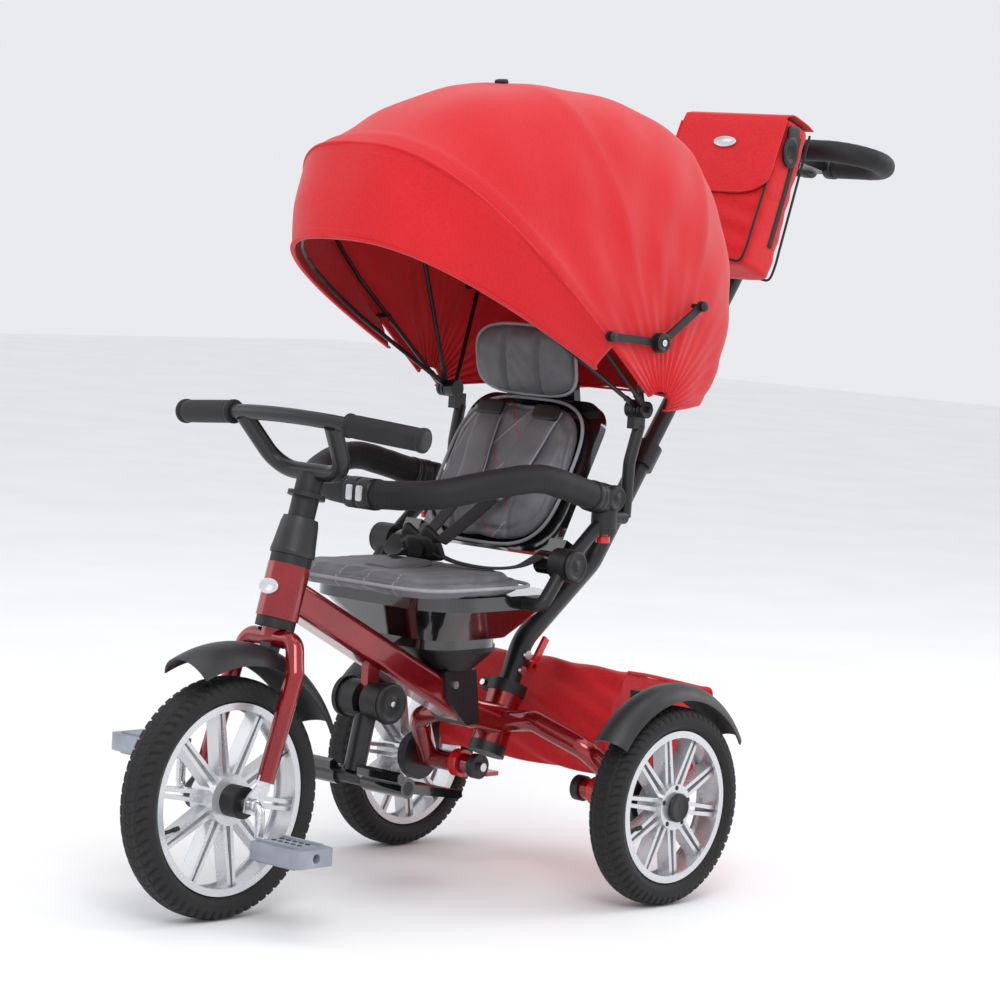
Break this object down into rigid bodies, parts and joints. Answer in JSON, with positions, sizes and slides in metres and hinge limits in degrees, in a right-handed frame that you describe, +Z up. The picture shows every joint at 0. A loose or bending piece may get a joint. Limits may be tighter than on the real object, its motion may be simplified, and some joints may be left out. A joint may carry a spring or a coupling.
{
  "type": "push-along tricycle",
  "caption": "Child's push-along tricycle with pedalled front wheel, swivelling padded seat under a folding fan canopy, bumper bar and telescopic push bar.",
  "frame": {"origin": "on the floor, midway between the front axle and the rear axle, in the plane of symmetry", "axes": "-Y is the way the tricycle drives, +X is the rider's left and +Z is up; +Y follows the longest extent and +X the shortest"},
  "size_m": [0.526, 1.2874, 1.0516],
  "materials": {
    "red_paint": "red metallic gloss",
    "dark_metal": "dark grey satin powder coat",
    "bright_steel": "bright zinc",
    "silver_plastic": "silver lacquer",
    "black_plastic": "black satin",
    "grey_plastic": "dark grey satin",
    "gloss_black": "black gloss",
    "pale_plastic": "light grey satin",
    "red_plastic": "red gloss",
    "tyre_rubber": "dull black",
    "foam": "soft charcoal foam",
    "red_fabric": "bright red woven",
    "pad_fabric": "grey satin with diagonal print",
    "strap_web": "dark webbing"
  },
  "bodies": {
    "chassis": {"main_frame": "red_paint", "rear_arms": "red_paint", "stub_axles": "bright_steel", "brake_drums": "grey_plastic", "headset_cups": "black_plastic", "boss_clamp": "black_plastic", "rear_fenders": "grey_plastic", "basket": "red_fabric", "seat_bracket": "dark_metal", "frame_bolts": "bright_steel", "push_post": "dark_metal"},
    "steering": {"fork": "red_paint", "dropouts": "bright_steel", "front_fender": "grey_plastic", "headset_cover": "grey_plastic", "stem": "black_plastic", "handlebar": "dark_metal", "grips": "foam"},
    "front_wheel": {"front_tyre": "tyre_rubber", "front_rim": "silver_plastic", "hub_caps": "black_plastic", "crank_axle": "bright_steel"},
    "pedal_l": {"pedal_left": "pale_plastic"},
    "pedal_r": {"pedal_right": "pale_plastic"},
    "rear_wheel_l": {"rear_tyre_left": "tyre_rubber", "rear_rim_left": "silver_plastic"},
    "rear_wheel_r": {"rear_tyre_right": "tyre_rubber", "rear_rim_right": "silver_plastic"},
    "brake_l": {"brake_left": "red_plastic"},
    "brake_r": {"brake_right": "red_plastic"},
    "footrest": {"footrest_drum": "black_plastic", "footrest_tube": "dark_metal", "foot_plates": "gloss_black"},
    "seat": {"turntable": "black_plastic", "seat_shell": "gloss_black", "seat_pad": "pad_fabric", "side_arms": "black_plastic", "canopy_posts": "dark_metal", "canopy_rear": "red_fabric"},
    "back": {"back_shell": "gloss_black", "back_pad": "pad_fabric", "headrest": "pad_fabric", "harness": "strap_web"},
    "buckle_btn": {"buckle_button": "black_plastic"},
    "bumper_l": {"bumper_left": "foam"},
    "bumper_r": {"bumper_right": "foam"},
    "release_l": {"release_left": "red_plastic"},
    "release_r": {"release_right": "red_plastic"},
    "canopy_front": {"canopy_bow": "dark_metal", "canopy_top": "red_fabric"},
    "canopy_mid": {"mid_bow": "dark_metal"},
    "peak": {"visor_bow": "dark_metal", "visor": "red_fabric"},
    "stay_rear": {"stays_rear": "black_plastic"},
    "stay_front": {"stays_front": "black_plastic"},
    "push_upper": {"push_tube": "dark_metal", "handle_foam": "foam", "bag": "red_fabric"},
    "lever": {"clamp_lever": "red_plastic"}
  },
  "joints": [
    {"name": "steer", "type": "hinge", "parent": "chassis", "child": "steering", "pos_m": [0, -0.26323, 0.14433], "axis": [0, 0.2521, 0.9677], "range_deg": [-35, 35]},
    {"name": "front_wheel_spin", "type": "hinge", "parent": "steering", "child": "front_wheel", "pos_m": [0, -0.285, 0.15], "axis": [1, 0, 0], "continuous": true},
    {"name": "pedal_l_spin", "type": "hinge", "parent": "front_wheel", "child": "pedal_l", "pos_m": [0.12, -0.285, 0.103], "axis": [1, 0, 0], "continuous": true},
    {"name": "pedal_r_spin", "type": "hinge", "parent": "front_wheel", "child": "pedal_r", "pos_m": [-0.12, -0.285, 0.197], "axis": [1, 0, 0], "continuous": true},
    {"name": "rear_wheel_l_spin", "type": "hinge", "parent": "chassis", "child": "rear_wheel_l", "pos_m": [0.236, 0.285, 0.13], "axis": [1, 0, 0], "continuous": true},
    {"name": "rear_wheel_r_spin", "type": "hinge", "parent": "chassis", "child": "rear_wheel_r", "pos_m": [-0.236, 0.285, 0.13], "axis": [1, 0, 0], "continuous": true},
    {"name": "brake_l_press", "type": "hinge", "parent": "chassis", "child": "brake_l", "pos_m": [0.125, 0.285, 0.13], "axis": [1, 0, 0], "range_deg": [-14, 0]},
    {"name": "brake_r_press", "type": "hinge", "parent": "chassis", "child": "brake_r", "pos_m": [-0.125, 0.285, 0.13], "axis": [1, 0, 0], "range_deg": [-14, 0]},
    {"name": "footrest_fold", "type": "hinge", "parent": "chassis", "child": "footrest", "pos_m": [0, -0.033, 0.255], "axis": [1, 0, 0], "range_deg": [0, 42]},
    {"name": "seat_swivel", "type": "hinge", "parent": "chassis", "child": "seat", "pos_m": [0, 0.108, 0.3], "axis": [0, 0, 1], "range_deg": [0, 180]},
    {"name": "back_recline", "type": "hinge", "parent": "seat", "child": "back", "pos_m": [0, 0.152, 0.439], "axis": [1, 0, 0], "range_deg": [-18, 0]},
    {"name": "buckle_press", "type": "slide", "parent": "back", "child": "buckle_btn", "axis": [0, 0.9397, 0.342], "range_m": [0, 0.003], "stiffness_N_per_m": 400},
    {"name": "bumper_l_swing", "type": "hinge", "parent": "seat", "child": "bumper_l", "pos_m": [0.156, 0.223, 0.513], "axis": [0, 0, 1], "range_deg": [0, 60]},
    {"name": "bumper_r_swing", "type": "hinge", "parent": "seat", "child": "bumper_r", "pos_m": [-0.156, 0.223, 0.513], "axis": [0, 0, 1], "range_deg": [-60, 0]},
    {"name": "release_l_press", "type": "slide", "parent": "seat", "child": "release_l", "axis": [0, 0, 1], "range_m": [0, 0.003], "stiffness_N_per_m": 400},
    {"name": "release_r_press", "type": "slide", "parent": "seat", "child": "release_r", "axis": [0, 0, 1], "range_m": [0, 0.003], "stiffness_N_per_m": 400},
    {"name": "canopy_fold", "type": "hinge", "parent": "seat", "child": "canopy_front", "pos_m": [0, 0.264, 0.64], "axis": [1, 0, 0], "range_deg": [-34, 0], "deforming": ["canopy_top"]},
    {"name": "mid_bow_follow", "type": "hinge", "parent": "seat", "child": "canopy_mid", "pos_m": [0, 0.264, 0.64], "axis": [1, 0, 0], "range_deg": [-19, 1]},
    {"name": "peak_flip", "type": "hinge", "parent": "canopy_front", "child": "peak", "pos_m": [0, 0.264, 0.64], "axis": [1, 0, 0], "range_deg": [-12, 0], "deforming": ["visor"]},
    {"name": "stay_rear_swing", "type": "hinge", "parent": "seat", "child": "stay_rear", "pos_m": [0, 0.32222, 0.77716], "axis": [1, 0, 0], "range_deg": [-1, 26]},
    {"name": "stay_front_swing", "type": "hinge", "parent": "canopy_front", "child": "stay_front", "pos_m": [0, 0.14986, 0.73577], "axis": [1, 0, 0], "range_deg": [-21, 1]},
    {"name": "push_extend", "type": "slide", "parent": "chassis", "child": "push_upper", "axis": [0, 0.568, 0.823], "range_m": [0, 0.09]},
    {"name": "clamp_flip", "type": "hinge", "parent": "chassis", "child": "lever", "pos_m": [0, 0.27004, 0.28196], "axis": [1, 0, 0], "range_deg": [-20, 0]}
  ],
  "couplings": [
    {"joint": "mid_bow_follow", "follows": "canopy_fold", "ratio": 0.55},
    {"joint": "stay_rear_swing", "follows": "canopy_fold", "ratio": -0.737},
    {"joint": "stay_front_swing", "follows": "canopy_fold", "ratio": 0.596}
  ]
}
